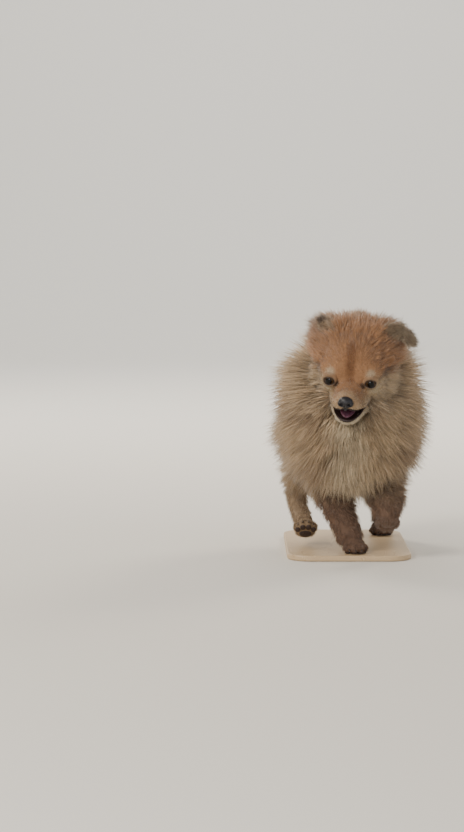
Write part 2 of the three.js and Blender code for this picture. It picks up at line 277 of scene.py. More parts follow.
# Bump of a given depth in mm from a height socket
def addBump(tree, shader, height, depth):
    bump = addNode(tree, "Bump", {"Height": height, "Distance": depth * mm})
    tree.links.new(bump.outputs["Normal"], shader.inputs["Normal"])


# Dog hair, keratin, unwashed and dry: soft, hardly glossy, and uneven in tone from hair to hair
def hairMaterial():
    material, tree, shader, place = newMaterial("puppyHair", Roughness=0.62, IOR=1.55,
                                                Specular_IOR_Level=0.25, Sheen_Weight=0.25,
                                                Sheen_Roughness=0.5)
    colour = addNode(tree, "Attribute", attribute_name="coatColour").outputs["Color"]
    streaks = addNode(tree, "TexNoise", {"Vector": place, "Scale": 1 / (6 * mm), "Detail": 3})  # 6 mm locks
    tone = addNode(tree, "MapRange", {"Value": streaks.outputs["Fac"], "To Min": 0.82, "To Max": 1.16})
    addBase(tree, shader, colour, tone.outputs["Result"])
    return material


# Skin under the coat: matt, a shade under the hair's own colour, with a fine crease pattern
def skinMaterial():
    material, tree, shader, place = newMaterial("puppySkin", Roughness=0.8, IOR=1.4)
    colour = addNode(tree, "Attribute", attribute_name="coatColour").outputs["Color"]
    creases = addNode(tree, "TexNoise", {"Vector": place, "Scale": 1 / (1.2 * mm), "Detail": 4})
    tone = addNode(tree, "MapRange", {"Value": creases.outputs["Fac"], "To Min": 0.7, "To Max": 1.0})
    addBase(tree, shader, colour, tone.outputs["Result"])
    addBump(tree, shader, creases.outputs["Fac"], 0.3)
    return material


# Thick bare skin pebbled in cells of a given size, with the bump's depth in mm
def pebbledMaterial(name, roughness, size, depth, first, last):
    material, tree, shader, place = newMaterial(name, Roughness=roughness, IOR=1.45)
    cells = addNode(tree, "TexVoronoi", {"Vector": place, "Scale": 1 / (size * mm)})
    tree.links.new(blend(tree, cells.outputs["Distance"], first, last), shader.inputs["Base Color"])
    height = addNode(tree, "MapRange", {"Value": cells.outputs["Distance"], "To Min": 1, "To Max": 0})
    addBump(tree, shader, height.outputs["Result"], depth)
    return material


# Bare black nose leather, damp, with a soft wet shine: cells of about 0.75 mm
def noseMaterial():
    return pebbledMaterial("noseLeather", 0.34, 0.75, 0.16, "#26242a", "#0b0a0c")


# Walking pads: thick dark skin, dry, in cells of about 0.9 mm
def padMaterial():
    return pebbledMaterial("padLeather", 0.7, 0.9, 0.25, "#4a3a36", "#241b1a")


# Lips and the rims of the lids: thin bare skin, dark brown and slightly moist
def rimMaterial():
    material, tree, shader, place = newMaterial("lipSkin", Roughness=0.42, IOR=1.42)
    folds = addNode(tree, "TexNoise", {"Vector": place, "Scale": 1 / (1.0 * mm), "Detail": 3})
    tree.links.new(blend(tree, folds.outputs["Fac"], "#140c0c", "#33211f"), shader.inputs["Base Color"])
    addBump(tree, shader, folds.outputs["Fac"], 0.15)
    return material


# A wet tongue: dusky purple, its pink darkened with painted shade of the mouth, with papillae about 0.5 mm
# across
def tongueMaterial():
    material, tree, shader, place = newMaterial("wetTongue", Roughness=0.33, IOR=1.4,
                                                Subsurface_Weight=0.15, Subsurface_Scale=1,
                                                Subsurface_Radius=(0.004, 0.0015, 0.001))
    bumps = addNode(tree, "TexVoronoi", {"Vector": place, "Scale": 1 / (0.5 * mm)})
    tone = addNode(tree, "TexNoise", {"Vector": place, "Scale": 1 / (5 * mm)})
    tree.links.new(blend(tree, tone.outputs["Fac"], "#4c2b3a", "#6a4353"), shader.inputs["Base Color"])
    addBump(tree, shader, bumps.outputs["Distance"], 0.1)
    return material


# A living eye: near-black pupil, dark brown iris with fine spokes, under a clear wet cornea
def eyeMaterial():
    material, tree, shader, place = newMaterial("wetEye", Roughness=0.04, IOR=1.336)
    fromPupil = addNode(tree, "Attribute", attribute_name="fromPupil").outputs["Fac"]
    spokes = addNode(tree, "TexNoise", {"Vector": place, "Scale": 1 / (0.8 * mm), "Detail": 4})
    shift = addNode(tree, "MapRange", {"Value": spokes.outputs["Fac"], "To Min": -0.03, "To Max": 0.03})
    radius = addNode(tree, "Math", {0: fromPupil, 1: shift.outputs["Result"]}, operation="ADD")
    ramp = addNode(tree, "ValToRGB", {"Fac": radius.outputs["Value"]})
    stops = [(0.0, "#020101"), (0.4, "#030202"), (0.46, "#44301b"), (0.66, "#312213"), (0.8, "#0a0605"),
             (1.0, "#1c1210")]
    while len(ramp.color_ramp.elements) < len(stops):
        ramp.color_ramp.elements.new(0.5)
    for element, (at, colour) in zip(ramp.color_ramp.elements, stops):
        element.position = at
        element.color = rgba(colour)
    tree.links.new(ramp.outputs["Color"], shader.inputs["Base Color"])
    return material


# Claws: smooth horn, dark at the root and paler to the tip
def clawMaterial():
    material, tree, shader, place = newMaterial("clawHorn", Roughness=0.35, IOR=1.54)
    grain = addNode(tree, "TexNoise", {"Vector": place, "Scale": 1 / (1.5 * mm)})
    tree.links.new(blend(tree, grain.outputs["Fac"], "#1d1614", "#4b3d34"), shader.inputs["Base Color"])
    return material


# Pale ash, planed and oiled: long growth rings about 4 mm apart and fine open pores, silky
def ashMaterial():
    material, tree, shader, place = newMaterial("oiledAsh", Roughness=0.45, IOR=1.5)
    along = addNode(tree, "Mapping", {"Vector": place, "Scale": (1, 0.08, 1)}).outputs["Vector"]
    waver = addNode(tree, "TexNoise", {"Vector": along, "Scale": 1 / (40 * mm), "Detail": 2})
    drift = waver.outputs["Color"]
    bent = addNode(tree, "VectorMath", {0: drift, 1: drift, 2: along}, operation="MULTIPLY_ADD")
    rings = addNode(tree, "TexWave", {"Vector": bent.outputs["Vector"], "Scale": 1 / (14 * mm),
                                      "Distortion": 1.5}, bands_direction="X")
    pores = addNode(tree, "TexNoise", {"Vector": along, "Scale": 1 / (0.7 * mm), "Detail": 2})
    colour = blend(tree, rings.outputs["Fac"], "#b89a74", "#d6bf9b")
    tone = addNode(tree, "MapRange", {"Value": pores.outputs["Fac"], "From Min": 0.35,
                                      "To Min": 0.86, "To Max": 1.03})
    addBase(tree, shader, colour, tone.outputs["Result"])
    addBump(tree, shader, pores.outputs["Fac"], 0.08)
    return material


hair = hairMaterial()
skinSurface = skinMaterial()
rimSurface = rimMaterial()
print("materials made")


# The body under the coat. Head forms are in the head's own frame, and all others in the puppy's

skull = {
    "centre": (0, -14, -9),
    "forms": [
        ((0, 4, 5), (28, 25, 24)),
        ((14, 5, 12), (14, 15, 13)), ((-14, 5, 12), (14, 15, 13)),
        ((12, -8, -3), (13.5, 15.5, 12.5)), ((-12, -8, -3), (13.5, 15.5, 12.5)),
        ((15.5, -13.5, -6), (10, 9.5, 10)), ((-15.5, -13.5, -6), (10, 9.5, 10)),
        ((16, -4, -15), (12, 15, 13)), ((-16, -4, -15), (12, 15, 13)),
        ((0, -24, -16), (12.5, 17.5, 10)),
        ((0, -42, -15), (8.5, 9.5, 7.2)),
        ((6, -38, -19.5), (6.5, 9.5, 5.2)), ((-6, -38, -19.5), (6.5, 9.5, 5.2)),
    ],
}
jaw = {
    "centre": (0, -24, -33),
    "forms": [((0, -14, -33), (13, 13.3, 6.7)), ((0, -32, -36.5), (9.2, 11.7, 4.3))],
}
# Stations along a line, here and below: x, y, z and radius. Walls carry the lower lip, flews the upper
jawWall = [(12.8, -22, -30.8, 3.4), (10.4, -32, -32.8, 2.5), (6.8, -38.4, -35.2, 2.2), (0, -41.4, -36.6, 2.2)]
flews = [(12, -20, -22.5, 5.2), (10.6, -31, -22.6, 4.6), (7.6, -40, -21.6, 3.9)]
scruff = {
    "centre": (1, -40, 122),
    "forms": [((1, -44, 136), (31, 23, 28)), ((1, -34, 108), (31, 27, 30))],
}
trunk = {
    "centre": (0, 16, 97),
    "forms": [((0, -20, 98), (31, 30, 33)), ((0, 16, 97), (29, 38, 29)), ((0, 50, 96), (27, 26, 27))],
}
tail = [(0, 76, 104, 7), (2, 94, 124, 6), (4, 86, 146, 5.5), (5, 66, 156, 4)]
legs = {
    "foreleg_right": [(-19, -26, 72, 14), (-15, -27, 52, 13), (-7, -33, 32, 12), (0, -38, 14, 10.5)],
    "foreleg_left": [(24, -30, 76, 14), (28, -28, 60, 14), (31, -42, 47, 13), (32, -53, 36, 10.5)],
    "thigh_right": [(-24, 54, 90, 17), (-31, 38, 74, 14.5), (-39, 26, 58, 11.5)],
    "thigh_left": [(24, 56, 90, 17), (30, 46, 72, 14.5), (34, 46, 54, 11.5)],
    "shank_right": [(-40, 24, 58, 11), (-42, 35, 41, 8.5), (-41, 31, 27, 7.5), (-37, 13, 19, 8)],
    "shank_left": [(34, 48, 54, 11), (36, 67, 44, 8.5), (36, 77, 32, 7.5), (35, 80, 14, 8)],
}
paws = {
    "forepaw_right": {"at": (3, -42, 0), "nod": 0, "turn": 14, "scale": 1},
    "forepaw_left": {"at": (32, -52, 36), "nod": 112, "turn": 4, "scale": 0.95},
    "hindpaw_right": {"at": (-36, 0, 7.5), "nod": -42, "turn": 0, "scale": 0.95},
    "hindpaw_left": {"at": (35, 76, 0), "nod": 0, "turn": -4, "scale": 0.95},
}
toes = [(7.2, -9, 4.6), (2.6, -12.5, 4.9), (-2.6, -12.5, 4.9), (-7.2, -9, 4.6)]  # x, y, size


def fromPaw(points, paw):
    return np.asarray(points, float) * paw["scale"] @ turned(paw["turn"], paw["nod"]).T + paw["at"]


def pawForms(paw):
    parts = [ellipsoid((0, -2, 6.5), (9.3, 10, 6.3), 4)]
    for x, y, size in toes:
        parts.append(ellipsoid((x, y, size * 0.9), (size - 0.9, size * 1.2, size - 0.9), 3))
    points, faces = merged(parts)
    points[:, 2] = np.maximum(points[:, 2], 0.4)
    return fromPaw(points, paw), faces


# An ear: a slab bent along a line, cupped to the front and drawn in to a blunt tip
ears = {
    "right": {"line": [(-17, 0, 20), (-22, 1, 29), (-29, 3, 36)], "facing": (-0.3, -1, 0.15)},
    "left": {"line": [(20, 0, 20), (38, 1, 39), (49, 1, 18)], "facing": (0.1, -1, 0.25)},
}
earSize = {"halfWidth": 8, "cup": 4, "thickness": 2}


def earForm(ear, across=17, along=21):
    a, b, c = (np.array(p, float) for p in ear["line"])
    t = np.linspace(0, 1, along)[:, None]
    line = (1 - t) ** 2 * a + 2 * t * (1 - t) * b + t * t * c
    up = unit(2 * (1 - t) * (b - a) + 2 * t * (c - b))
    side = unit(np.cross(up, ear["facing"]))
    front = unit(np.cross(side, up))
    taper = np.sqrt(1 - 0.97 * t * t)[:, None]
    s = np.linspace(-1, 1, across)[None, :, None]
    cup = earSize["cup"] * taper * (1 - s * s)
    thick = earSize["thickness"] * (0.5 + 0.5 * taper) / 2
    middle = line[:, None] + side[:, None] * s * earSize["halfWidth"] * taper
    sheets = [middle + front[:, None] * (way * thick * (1 - 0.6 * s ** 4) - cup) for way in (-1, 1)]
    points = np.concatenate([sheet.reshape(-1, 3) for sheet in sheets])
    grid = along * across
    faces = []
    for j in range(along - 1):
        for i in range(across - 1):
            p, r = j * across + i, (j + 1) * across + i
            faces += [(p, p + 1, r), (p + 1, r + 1, r)]
            faces += [(grid + p, grid + r, grid + p + 1), (grid + p + 1, grid + r, grid + r + 1)]
    border = list(range(across)) + [j * across + across - 1 for j in range(1, along)]
    border += [(along - 1) * across + i for i in range(across - 2, -1, -1)]
    border += [j * across for j in range(along - 2, 0, -1)]
    for p, q in zip(border, border[1:] + border[:1]):
        faces += [(p, grid + p, q), (q, grid + p, grid + q)]
    return fromHead(points), np.array(faces)


headParts = [shell(**skull), shell(**jaw, detail=4)]
headParts += [limb([(way * x, *rest) for x, *rest in half]) for way in (-1, 1) for half in (jawWall, flews)]
bodyParts = [(fromHead(points), faces) for points, faces in headParts]
bodyParts += [shell(**scruff), shell(**trunk), limb(tail)]
bodyParts += [limb(stations) for stations in legs.values()]
bodyParts += [pawForms(paw) for paw in paws.values()]
bodyParts += [earForm(ear) for ear in ears.values()]
skinMesh = reskinned("skin", *merged(bodyParts), voxel=1.15, passes=4)
skinPoints = vectorsOf(skinMesh.vertices, "co") / mm - puppyOffset
print("skin made:", len(skinMesh.vertices), "points")


# Which part of the body a point lies on, by the form it is deepest in


def limbNearness(points, stations):
    line = alongStations(stations, 10)
    best = np.full(len(points), -9.0)
    for s in line:
        best = np.maximum(best, 1 - ((points - s[:3]) ** 2).sum(1) / s[3] ** 2)
    return best


def nearness(points, forms):
    return np.max([1 - (((points - at) / radii) ** 2).sum(-1) for at, radii in forms], axis=0)


partNames = ["head", "ears", "neck", "trunk", "tail", "foreleg", "thigh", "shank", "paw"]


def partsAt(points):
    inHead = toHead(points)
    scores = [np.maximum(nearness(inHead, skull["forms"]), nearness(inHead, jaw["forms"]))]
    earReach = np.full(len(points), -9.0)
    for ear in ears.values():
        a, b, c = (np.array(p, float) for p in ear["line"])
        for t in np.linspace(0.15, 1, 7):
            middle = (1 - t) ** 2 * a + 2 * t * (1 - t) * b + t * t * c
            earReach = np.maximum(earReach, 0.25 - ((inHead - middle) ** 2).sum(1) / 9.5 ** 2)
    scores.append(earReach)
    scores.append(nearness(points, scruff["forms"]))
    scores.append(nearness(points, trunk["forms"]))
    scores.append(limbNearness(points, tail))
    for kind in ("foreleg", "thigh", "shank"):
        pair = [limbNearness(points, stations) for name, stations in legs.items() if name.startswith(kind)]
        scores.append(np.max(pair, axis=0))
    pawForm = [(fromPaw([(0, -5, 5)], paw)[0], np.array([11.5, 13, 8])) for paw in paws.values()]
    scores.append(nearness(points, pawForm) + 0.1)
    return np.argmax(scores, axis=0)


# The markings: one function of place for skin and coat

coatColours = {
    "ginger": "#a97c56",  # forehead and bridge of the muzzle
    "rust": "#7a5130",  # line between the brows
    "sand": "#bda584",  # cheeks and sides of the muzzle
    "cream": "#cfc0a3",  # streak down the chest, spots over the eyes, chin
    "tan": "#9d856a",  # ruff and flanks
    "sable": "#6c5747",  # shaded hair on the back and behind the cheeks
    "ash": "#8d7c66",  # ears
    "brown": "#735746",  # lower legs: painted shade under the body
    "dark": "#33261f",  # streaks at the eyes, ear tips, mouth, and painted shade in the left ear's fold
}
tint = {name: linearColour(value) for name, value in coatColours.items()}


# Uneven waves of a given size in mm, from -1 to 1
def waves(points, size, seed=0):
    turns = np.array([[1.0, 0.4, 0.7], [-0.5, 1.1, 0.3], [0.6, -0.7, 1.0], [1.3, 0.9, -0.8]])
    turns = turns * 2 * np.pi / size
    return sum(np.sin(points @ turn + seed + 1.7 * i) for i, turn in enumerate(turns)) / 4


def blended(base, colour, amount):
    return base + (tint[colour] - base) * np.clip(amount, 0, 1)[:, None]


def spot(points, at, radius):
    away = np.linalg.norm(points - np.array(at, float), axis=1)
    return 1 - smoothStep(radius * 0.55, radius * 1.25, away)


def streak(points, start, end, width):
    start, end = np.array(start, float), np.array(end, float)
    along = np.clip((points - start) @ (end - start) / ((end - start) @ (end - start)), 0, 1)
    away = np.linalg.norm(points - start - along[:, None] * (end - start), axis=1)
    return 1 - smoothStep(width * 0.5, width * 1.4, away)


def headMarkings(p):
    x, y, z = p.T
    out = np.tile(tint["ginger"], (len(p), 1))
    out = blended(out, "sand", smoothStep(8, 19, abs(x)) * smoothStep(2, -9, z))
    out = blended(out, "sand", smoothStep(-36, -46, y) * 0.5)
    out = blended(out, "sand", 0.6 * smoothStep(-17, -22, z))
    out = blended(out, "tan", smoothStep(-2, 16, y) * 0.7)
    behindEye = smoothStep(15, 24, abs(x)) * smoothStep(2, 14, z) * smoothStep(-16, 4, y)
    out = blended(out, "sable", 0.55 * behindEye)
    out = blended(out, "rust", 0.75 * streak(p, (0, -26, -3), (0, -16, 16), 4.2))
    out = blended(out, "cream", smoothStep(-27, -34, z) * 0.85)
    for side in (-1, 1):
        out = blended(out, "cream", 0.5 * spot(p, (side * 16.5, -22, -0.5), 4.6))
        out = blended(out, "dark", 0.5 * streak(p, (side * 22.5, -19, -5), (side * 34, -2, 3), 2.6))
        out = blended(out, "dark", 0.8 * spot(p, (side * 11, -26, -9.5), 3.2))
        out = blended(out, "cream", 0.5 * spot(p, (side * 20, -21, -14), 5.5))
        out = blended(out, "dark", 0.7 * spot(p, (side * 17.5, -26, -7), 5.6))
    out = blended(out, "dark", 0.7 * smoothStep(-48.5, -51.5, y) * smoothStep(-24, -20, z))
    return out


def markings(points, parts):
    out = np.tile(tint["tan"], (len(points), 1))
    x, y, z = points.T
    patches = waves(points, 46) + 0.5 * waves(points, 19, 2)
    out = blended(out, "sand", 0.5 + 0.5 * patches)
    back = smoothStep(104, 126, z) * smoothStep(-30, 0, y)
    out = blended(out, "sable", 0.55 * back + 0.25 * smoothStep(0.1, 0.9, -patches))
    chest = (1 - smoothStep(3, 13, abs(x + 1 + 3 * waves(points, 30)))) * smoothStep(-40, -52, y)
    out = blended(out, "cream", (0.5 + 0.45 * smoothStep(108, 130, z)) * chest)
    out = blended(out, "cream", 0.55 * smoothStep(84, 66, z) * (parts == partNames.index("trunk")))
    isPart = {name: parts == i for i, name in enumerate(partNames)}
    if isPart["head"].any():
        out[isPart["head"]] = headMarkings(toHead(points[isPart["head"]]))
    if isPart["ears"].any():
        p = points[isPart["ears"]]
        q = toHead(p)
        colour = blended(np.tile(tint["tan"], (len(p), 1)), "ash", smoothStep(22, 34, abs(q[:, 0])))
        colour = blended(colour, "sable", 0.6 * smoothStep(0.1, 0.8, waves(p, 7)))
        colour = blended(colour, "dark", 0.85 * spot(q, (-27, 2, 35), 5))
        # The dark streak down the front of the left ear is painted shade inside its fold
        out[isPart["ears"]] = blended(colour, "dark", 0.85 * streak(q, (33, -4, 22), (37, -4, 34), 3))
    own = isPart["tail"]
    out[own] = blended(np.tile(tint["sand"], (own.sum(), 1)), "cream", smoothStep(110, 150, z[own]))
    for name in ("foreleg", "shank", "paw"):
        own = isPart[name]
        # Lower legs and paws turn brown towards the ground: painted shade under the body
        colour = blended(np.tile(tint["tan"], (own.sum(), 1)), "brown", smoothStep(66, 34, z[own]) * 0.9)
        # The right hind leg and paw, at x under -26, turn lighter sand: painted sunlight on that side
        out[own] = blended(colour, "sand", 0.55 * (x[own] < -26))
    return out


skinNormals = vectorsOf(skinMesh.vertex_normals, "vector")
skinParts = partsAt(skinPoints)


# Lips along the mouth's line, from the corner to the middle: x, y, z and half thickness
upperLip = [(13.4, -26, -27.2, 0.3), (10.8, -35.6, -26.4, 0.45), (6.6, -43.4, -24.7, 0.6),
            (0, -46.4, -21.8, 0.8)]
lowerLip = [(13.6, -26, -28.8, 0.3), (10.2, -36, -31.2, 0.6), (5.6, -41.9, -33.6, 0.9),
            (0, -43.8, -34.3, 0.95)]
skinShade = {"underCoat": 0.7, "lining": "#1f0f0e"}  # skin's share of the hair's colour, and the mouth's lining: its own dark skin with painted shade


# A lip's height at each distance from the middle, and the width between its two sides at each depth
def lipHeight(x, lip=lowerLip):
    line = np.array(lip[::-1])
    return np.interp(abs(x), line[:, 0], line[:, 2])


def isWithin(x, y, lip):
    line = np.array(lip)
    return abs(x) < np.interp(-y, -line[:, 1], line[:, 0], right=0) - 0.5


# The mouth's lining: the roof below the upper lip, and the floor inside the lower one
def isLining(points, normals):
    x, y, z = toHead(points).T
    facing = (normals @ headTurn)[:, 2]
    roof = isWithin(x, y, upperLip) & (z < lipHeight(x, upperLip) + 0.8) & (z > -29) & (facing < -0.4)
    ground = isWithin(x, y, lowerLip) & (z <= -26) & (z > -37) & (facing > 0.1)
    return (roof | ground) & (y < -12)


skinColour = markings(skinPoints, skinParts) * skinShade["underCoat"]
# The mouth's lining is near black: its own dark skin with painted shade of the mouth's inside
skinColour[isLining(skinPoints, skinNormals) & (skinParts == 0)] = linearColour(skinShade["lining"])
addColours(skinMesh, skinColour)
skin = addPiece("skin", skinMesh, skinSurface, "coat_ginger", "head", "jaw", "neck", "torso", "tail",
                "ear_left", "ear_right", *legs, *paws)
print("markings laid")


# An unwrap of the skin's own shape, on a coarser copy: each tuft finds its place in it


def unwrapOf(piece, ratio):
    copy = piece.copy()
    copy.data = piece.data.copy()
    bpy.context.collection.objects.link(copy)
    fewer = copy.modifiers.new("fewer", "DECIMATE")
    fewer.ratio = ratio
    mesh = bpy.data.meshes.new_from_object(copy.evaluated_get(bpy.context.evaluated_depsgraph_get()))
    copy.modifiers.clear()
    copy.data = mesh
    for other in bpy.context.selected_objects:
        other.select_set(False)
    copy.select_set(True)
    bpy.context.view_layer.objects.active = copy
    bpy.ops.object.mode_set(mode="EDIT")
    bpy.ops.mesh.select_all(action="SELECT")
    bpy.ops.mesh.quads_convert_to_tris()
    bpy.ops.uv.smart_project(angle_limit=math.radians(66), island_margin=0.004)
    bpy.ops.object.mode_set(mode="OBJECT")
    points = np.array([v.co for v in mesh.vertices])
    faces = np.array([list(f.vertices) for f in mesh.polygons])
    uv = np.zeros(len(mesh.loops) * 2)
    mesh.uv_layers.active.data.foreach_get("uv", uv)
    bpy.data.objects.remove(copy)
    return points, faces, uv.reshape(-1, 3, 2)


flatPoints, flatFaces, flatUv = unwrapOf(skin, 0.07)
flatTree = BVHTree.FromPolygons([Vector(p) for p in flatPoints], flatFaces.tolist())
print("skin unwrapped:", len(flatFaces), "faces")


def placesInUnwrap(points):
    row = (points + puppyOffset) * mm
    found = [flatTree.find_nearest(Vector(p)) for p in row]
    hit = np.array([f[0] for f in found])
    index = np.array([f[2] for f in found])
    a, b, c = (flatPoints[flatFaces[index, k]] for k in range(3))
    normal = np.cross(b - a, c - a)
    area = np.maximum((normal ** 2).sum(1), 1e-20)
    u = (np.cross(c - b, hit - b) * normal).sum(1) / area
    v = (np.cross(a - c, hit - c) * normal).sum(1) / area
    weights = np.clip(np.stack([u, v, 1 - u - v], 1), 0, 1)
    return (flatUv[index] * (weights / weights.sum(1, keepdims=True))[:, :, None]).sum(1)


# Roots for the tufts: points on the skin, with the skin's normal

skinMesh.calc_loop_triangles()
skinFaces = np.zeros(len(skinMesh.loop_triangles) * 3, np.int32)
skinMesh.loop_triangles.foreach_get("vertices", skinFaces)
skinFaces = skinFaces.reshape(-1, 3)


def scatter(count, faces, points=skinPoints, normals=skinNormals):
    a, b, c = (points[faces[:, k]] for k in range(3))
    area = np.linalg.norm(np.cross(b - a, c - a), axis=1)
    picks = random.choice(len(faces), count, p=area / area.sum())
    u, v = np.sqrt(random.random(count)), random.random(count)
    weights = np.stack([1 - u, u * (1 - v), u * v], 1)[:, :, None]
    corners = faces[picks]
    return (points[corners] * weights).sum(1), unit((normals[corners] * weights).sum(1))


# Tufts of hair: each strand is a thin three-sided spike that bends over, and a tuft's draw together


def growStrands(tufts, perTuft, ringsAt):
    def each(key):
        return np.repeat(tufts[key], perTuft, axis=0)

    root, normal, lie = each("root"), each("normal"), each("lie")
    count = len(root)
    lift, clump = each("lift")[:, None], each("clump")[:, None]
    across = unit(np.cross(normal, lie))
    spin, reach = random.uniform(0, 2 * np.pi, count), np.sqrt(random.random(count)) * each("spread")
    offset = lie * (np.cos(spin) * reach)[:, None] + across * (np.sin(spin) * reach)[:, None]
    length = (each("length") * random.uniform(0.7, 1.06, count))[:, None]
    stray = each("stray")[:, None] * random.normal(size=(count, 3))
    rise = unit(lie * (1 - lift) + normal * lift + stray)
    bent = stray + 0.06 * random.normal(size=(count, 3))
    lay = unit(lie * (1 - 0.55 * lift) + normal * (0.75 * lift) + bent)
    start = root + offset - normal * np.minimum(1.0, 0.2 * length)
    middle = start + rise * length * 0.48 - offset * clump * 0.5
    end = middle + lay * length * 0.56 - offset * clump * 0.45
    forward = unit(end - start)
    side = unit(np.cross(forward, random.normal(size=(count, 3))))
    other = np.cross(forward, side)
    rings = []
    for t in ringsAt:
        centre = (1 - t) ** 2 * start + 2 * t * (1 - t) * middle + t * t * end
        thick = (each("width") * (0.8 + 0.9 * t - 1.45 * t * t) / 2)[:, None]
        for k in range(3):
            turn = 2 * np.pi * k / 3
            rings.append(centre + (side * math.cos(turn) + other * math.sin(turn)) * thick)
    rings.append(end)
    return np.stack(rings, 1)


def strandFaces(count, ringCount):
    faces = ringFaces(ringCount, 3)
    last = (ringCount - 1) * 3
    faces += [(last + k, last + (k + 1) % 3, last + 3) for k in range(3)]
    size = ringCount * 3 + 1
    return (np.array(faces)[None] + (np.arange(count) * size)[:, None, None]).reshape(-1, 3)


patchSize = 0.003  # each tuft's share of the unwrap
pieceLimit = 185000  # triangles
coatTriangles = []


def addCoat(name, tufts, perTuft, ringsAt, slot):
    strandSize = 6 * (len(ringsAt) - 1) + 3
    tuftsPerPiece = pieceLimit // (strandSize * perTuft)
    total = len(tufts["root"])
    pieceCount = math.ceil(total / tuftsPerPiece)
    for number in range(pieceCount):
        own = {key: values[number::pieceCount] for key, values in tufts.items()}
        strands = growStrands(own, perTuft, ringsAt)
        count, size = strands.shape[:2]
        faces = strandFaces(count, len(ringsAt))
        label = name + str(number + 1)
        mesh = meshFrom(label, strands.reshape(-1, 3), faces)
        up = np.concatenate([np.repeat(ringsAt, 3), [1.0]])
        base, tip = (np.repeat(own[key], perTuft, axis=0)[:, None] for key in ("colour", "tipColour"))
        tone = np.exp(own["tone"].repeat(perTuft)[:, None, None] * random.normal(size=(count, 1, 1)))
        addColours(mesh, ((base + (tip - base) * up[None, :, None]) * tone).reshape(-1, 3))
        middle = np.repeat(placesInUnwrap(own["root"]), perTuft, axis=0)[:, None]
        turn = (np.arange(count) % perTuft / perTuft - 0.5)[:, None] * np.ones(size)
        within = np.stack([turn, np.broadcast_to(up - 0.5, turn.shape)], 2)
        uv = (middle + patchSize * within).reshape(-1, 2)
        layer = mesh.uv_layers.new(name="OFBake")
        layer.data.foreach_set("uv", uv[faces.ravel()].astype(np.float32).ravel())
        addPiece(label, mesh, hair, slot)
        coatTriangles.append(len(faces))
    print(name, total, "tufts")


# The coat's length, lie, lift and colour at each root, part by part

# Lengths, spread and width in mm. Lift runs from lying (0) to standing (1), drift from even to unruly
coatLook = {
    "ruff": {"tufts": 2440, "strands": 11, "length": 43, "lift": 0.84, "spread": 2.6, "width": 0.62,
             "clump": 0.6, "drift": 0.62},
    "trunk": {"tufts": 1560, "strands": 11, "length": 40, "lift": 0.8, "spread": 3.1, "width": 0.7,
              "clump": 0.6, "drift": 0.55},
    "tail": {"tufts": 420, "strands": 11, "length": 34, "lift": 0.62, "spread": 2.3, "width": 0.64,
             "clump": 0.55, "drift": 0.45},
    "crown": {"tufts": 1460, "strands": 10, "lift": 0.6, "spread": 1.7, "width": 0.42,
              "clump": 0.45, "drift": 0.34},
    "face": {"tufts": 2300, "strands": 9, "lift": 0.34, "spread": 0.95, "width": 0.28,
             "clump": 0.3, "drift": 0.24},
    "lids": {"tufts": 260, "strands": 8, "lift": 0.25, "spread": 0.6, "width": 0.22,
             "clump": 0.2, "drift": 0.2},
    "legs": {"tufts": 1900, "strands": 12, "lift": 0.5, "spread": 2.6, "width": 0.32,
             "clump": 0.1, "drift": 0.34},
    "paws": {"tufts": 1050, "strands": 10, "length": 3.8, "lift": 0.34, "spread": 1.6, "width": 0.26,
             "clump": 0.1, "drift": 0.2},
    "ears": {"tufts": 560, "strands": 10, "length": 7.5, "lift": 0.5, "spread": 2, "width": 0.26,
             "clump": 0.1, "drift": 0.25},
}
longRings, shortRings = (0, 0.36, 0.72), (0, 0.5)  # where a strand's rings stand along it
eyes = {"at": (16.6, -20.6, -7), "radius": 7.2, "halfWide": 4.7, "halfHigh": 3.5, "outward": 0.2, "slant": 6}


def eyeAt(side):
    return np.array([side * eyes["at"][0], *eyes["at"][1:]])


def laidOn(flow, normal):
    return unit(flow - (flow * normal).sum(1, keepdims=True) * normal)


def tuftsFor(look, root, normal, flow, length, lift=None):
    count = len(root)
    parts = partsAt(root)
    colour = markings(root, parts) * np.exp(0.2 * look["drift"] * random.normal(size=(count, 1)))
    drift = np.stack([waves(root, 31, k) for k in (0, 4, 8)], 1)  # neighbouring tufts gather into wavy locks
    lift = np.full(count, look["lift"]) if lift is None else lift
    return {
        "root": root,
        "normal": normal,
        "lie": laidOn(flow + look["drift"] * (drift + 0.3 * random.normal(size=(count, 3))), normal),
        "lift": lift * (1 + 0.4 * look["drift"] * waves(root, 23, 5)),
        "length": length * random.uniform(0.8, 1.08, count),
        "spread": np.full(count, look["spread"]),
        "clump": np.full(count, look["clump"]),
        "width": np.full(count, look["width"]),
        "stray": np.full(count, 0.04 + 0.1 * look["drift"]),
        "tone": np.full(count, 0.05 + 0.1 * look["drift"]),
        "colour": colour * (0.9 - 0.2 * look["drift"]),
        "tipColour": colour * (1.08 + 0.3 * look["drift"]),
    }


def facesOf(*names):
    wanted = [partNames.index(name) for name in names]
    return skinFaces[np.isin(skinParts[skinFaces[:, 0]], wanted)]


# Tufts of the body that would grow through the jaws or the face are left out
def clearOfHead(tufts):
    clear = np.ones(len(tufts["root"]), bool)
    lift = tufts["lift"][:, None]
    rise = unit(tufts["lie"] * (1 - lift) + tufts["normal"] * lift)
    for share in (0.25, 0.45, 0.65, 0.85, 1):
        p = toHead(tufts["root"] + rise * tufts["length"][:, None] * share)
        x, y, z = p.T
        inMouth = (abs(x) < 14) & (y < -10) & (y > -60) & (z < -22) & (z > -38)
        clear &= ~inMouth & (nearness(p, jaw["forms"]) < -0.25)
        clear &= (nearness(p, skull["forms"]) < -0.1) | (y > -6)
    return {key: values[clear] for key, values in tufts.items()}


